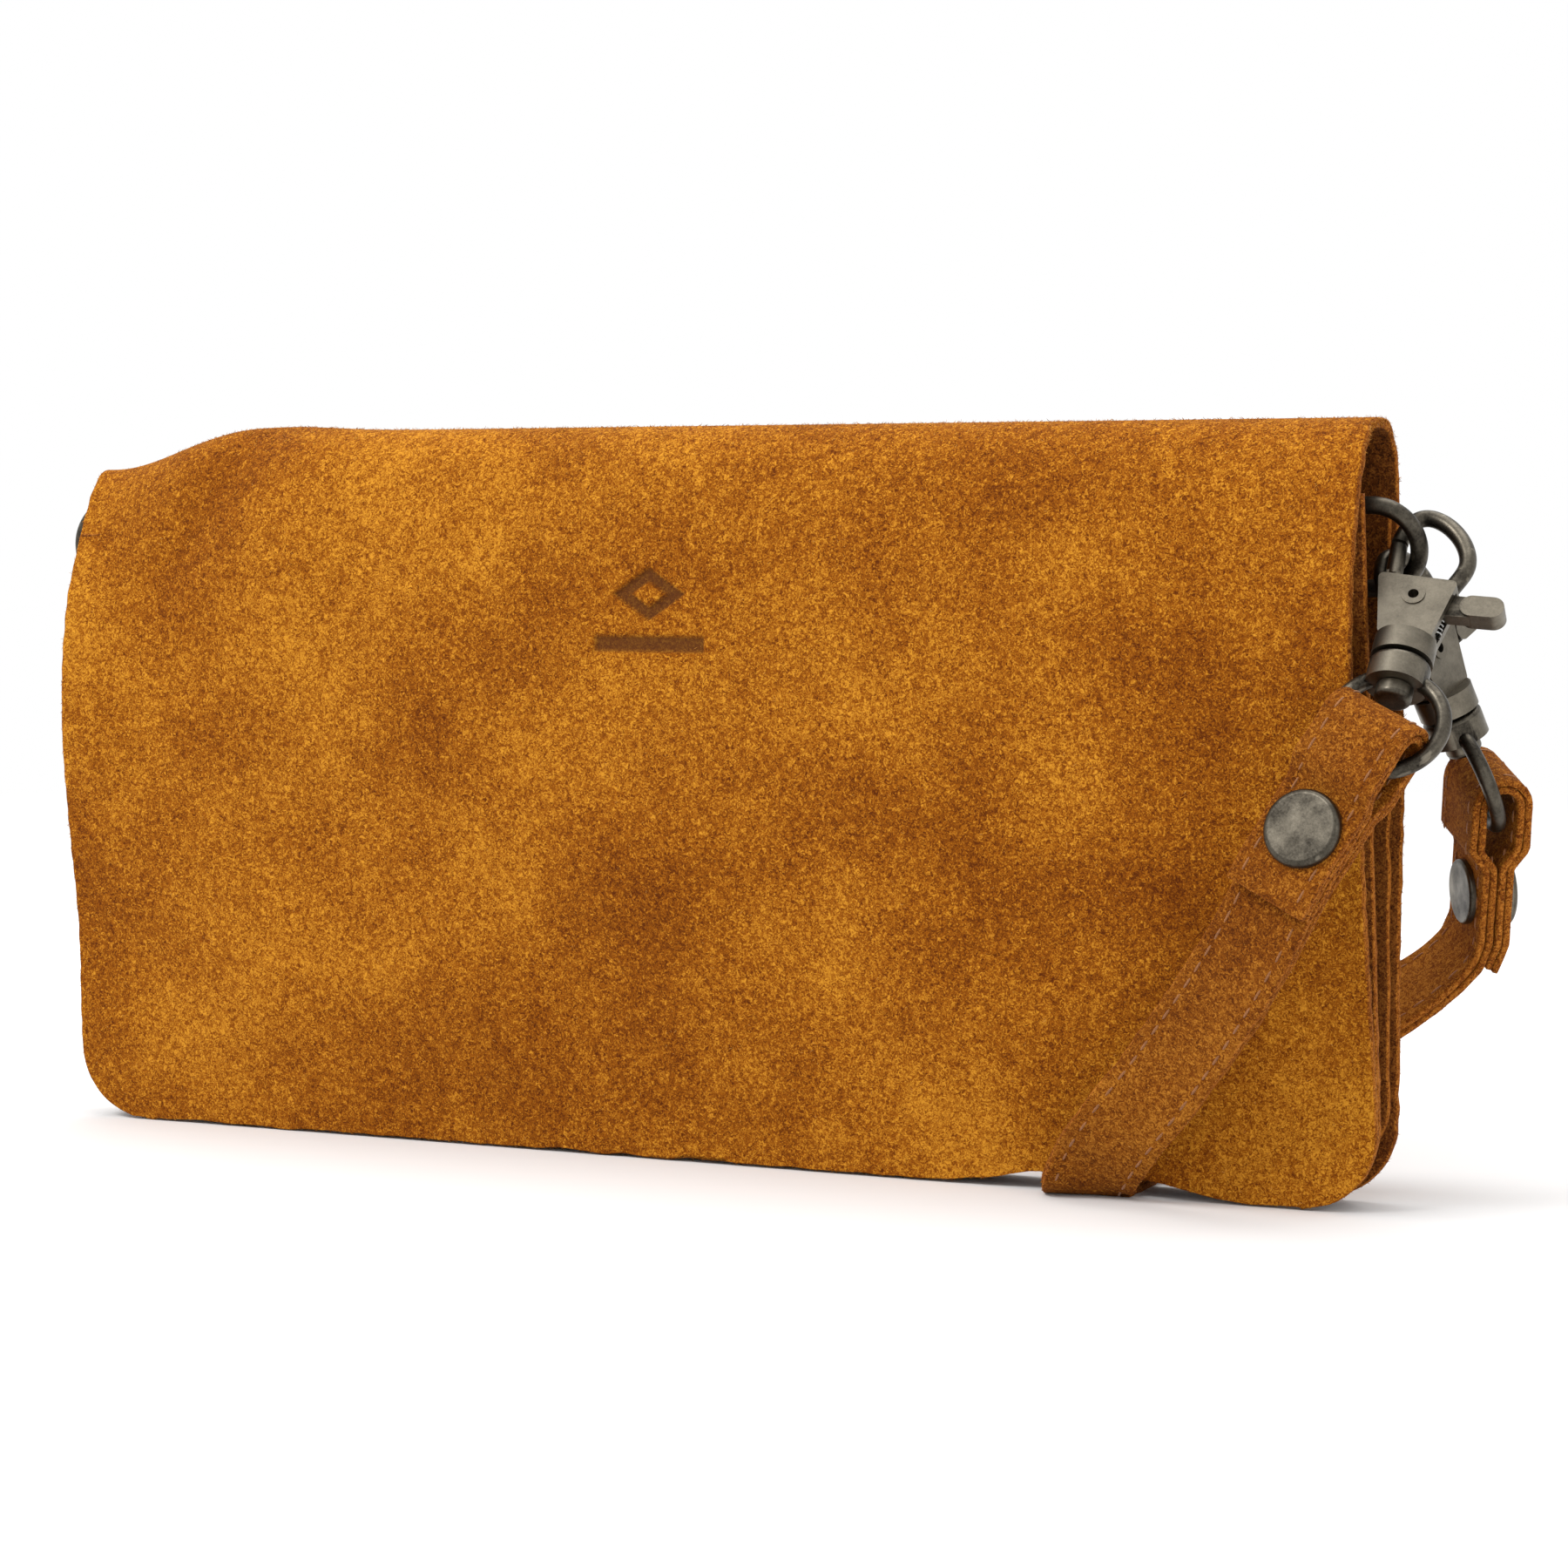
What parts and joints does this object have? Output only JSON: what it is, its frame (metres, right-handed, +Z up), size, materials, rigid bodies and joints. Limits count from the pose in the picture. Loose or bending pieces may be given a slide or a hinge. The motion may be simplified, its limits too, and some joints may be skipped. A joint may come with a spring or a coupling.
{
  "type": "wristlet wallet",
  "caption": "Fold-over suede clutch with a full-length flap, zip mouth, side D-rings, and a wrist strap hooked on by two swivel clasps.",
  "frame": {"origin": "centre of the bag's footprint, on the floor", "axes": "+X to the right of someone facing the flap, -Y towards that person, +Z up"},
  "size_m": [0.2573, 0.0628, 0.12],
  "materials": {
    "suede": "golden cognac suede with a short mottled nap and raw cut edges",
    "suede_inner": "flesh side of the suede, a little darker and rougher",
    "lining": "plain woven cotton lining",
    "zip_tape": "woven zip tape",
    "zip_metal": "aged copper-brass zip teeth",
    "gunmetal": "antique gunmetal plating, satin, rubbed lighter on high spots",
    "spring_steel": "plain spring wire",
    "magnet": "nickel-plated magnet"
  },
  "bodies": {
    "wallet_body": {"back_panel": "suede", "front_panel": "suede", "divider_panel": "lining", "gusset_left": "suede", "gusset_right": "suede", "lining_front": "lining", "lining_back": "lining", "card_pocket_lower": "suede_inner", "card_pocket_middle": "suede_inner", "card_pocket_upper": "suede_inner", "zip_tape_front": "zip_tape", "zip_tape_rear": "zip_tape", "zip_teeth_front": "zip_metal", "zip_teeth_rear": "zip_metal", "zip_stops": "zip_metal", "ring_tab_left": "suede", "ring_tab_right": "suede", "body_magnet": "magnet"},
    "flap": {"flap_panel": "suede", "flap_patch": "suede_inner", "flap_magnet": "magnet"},
    "zip_slider": {"zip_slider": "gunmetal"},
    "zip_pull": {"zip_pull": "gunmetal"},
    "d_ring_left": {"d_ring_left": "gunmetal"},
    "d_ring_right": {"d_ring_right": "gunmetal"},
    "wrist_loop": {"strap_outer_layer": "suede", "strap_inner_layer": "suede", "rivet_cap_front": "gunmetal", "rivet_base_front": "gunmetal", "rivet_cap_rear": "gunmetal", "rivet_base_rear": "gunmetal", "swivel_eye_front": "gunmetal", "swivel_eye_rear": "gunmetal"},
    "clasp_front": {"clasp_body_front": "gunmetal", "trigger_pivot_front": "gunmetal", "trigger_spring_front": "spring_steel", "swivel_pin_front": "gunmetal"},
    "clasp_rear": {"clasp_body_rear": "gunmetal", "trigger_pivot_rear": "gunmetal", "trigger_spring_rear": "spring_steel", "swivel_pin_rear": "gunmetal"},
    "trigger_front": {"trigger_front": "gunmetal"},
    "trigger_rear": {"trigger_rear": "gunmetal"}
  },
  "joints": [
    {"name": "flap_open", "type": "hinge", "parent": "wallet_body", "child": "flap", "pos_m": [0, 0, 0.1192], "axis": [-1, 0, 0], "range_deg": [0, 180], "deforming": ["flap_panel"]},
    {"name": "zip_slide", "type": "slide", "parent": "wallet_body", "child": "zip_slider", "axis": [-1, 0, 0], "range_m": [0, 0.148]},
    {"name": "zip_pull_swing", "type": "hinge", "parent": "zip_slider", "child": "zip_pull", "pos_m": [0.076, 0, 0.10247], "axis": [0, 1, 0], "range_deg": [0, 170]},
    {"name": "d_ring_left_swing", "type": "hinge", "parent": "wallet_body", "child": "d_ring_left", "pos_m": [-0.1085, 0, 0.1006], "axis": [0, 0, 1], "range_deg": [-25, 25]},
    {"name": "d_ring_right_swing", "type": "hinge", "parent": "wallet_body", "child": "d_ring_right", "pos_m": [0.1085, 0, 0.1006], "axis": [0, -0.3697, 0.9291], "range_deg": [-2, 2]},
    {"name": "wrist_loop_swing", "type": "hinge", "parent": "d_ring_right", "child": "wrist_loop", "pos_m": [0.1139, 0, 0.1006], "axis": [0, -0.9291, -0.3697], "range_deg": [0, 70]},
    {"name": "clasp_front_swivel", "type": "hinge", "parent": "wrist_loop", "child": "clasp_front", "pos_m": [0.1213, -0.01347, 0.08179], "axis": [0.031, 0.5979, 0.8009], "range_deg": [-6, 6]},
    {"name": "clasp_rear_swivel", "type": "hinge", "parent": "wrist_loop", "child": "clasp_rear", "pos_m": [0.12346, 0.01158, 0.07329], "axis": [-0.2739, -0.3369, 0.9008], "range_deg": [-6, 6]},
    {"name": "trigger_front_open", "type": "hinge", "parent": "clasp_front", "child": "trigger_front", "pos_m": [0.1217, -0.0057, 0.0922], "axis": [-0.0855, 0.8, -0.5939], "range_deg": [0, 2], "stiffness_Nm_per_rad": 0.02, "springref_deg": -11.46, "deforming": ["trigger_spring_front"]},
    {"name": "trigger_rear_open", "type": "hinge", "parent": "clasp_rear", "child": "trigger_rear", "pos_m": [0.1199, 0.0072, 0.085], "axis": [-0.9308, 0.3287, -0.1601], "range_deg": [0, 4], "stiffness_Nm_per_rad": 0.02, "springref_deg": -11.46, "deforming": ["trigger_spring_rear"]}
  ]
}
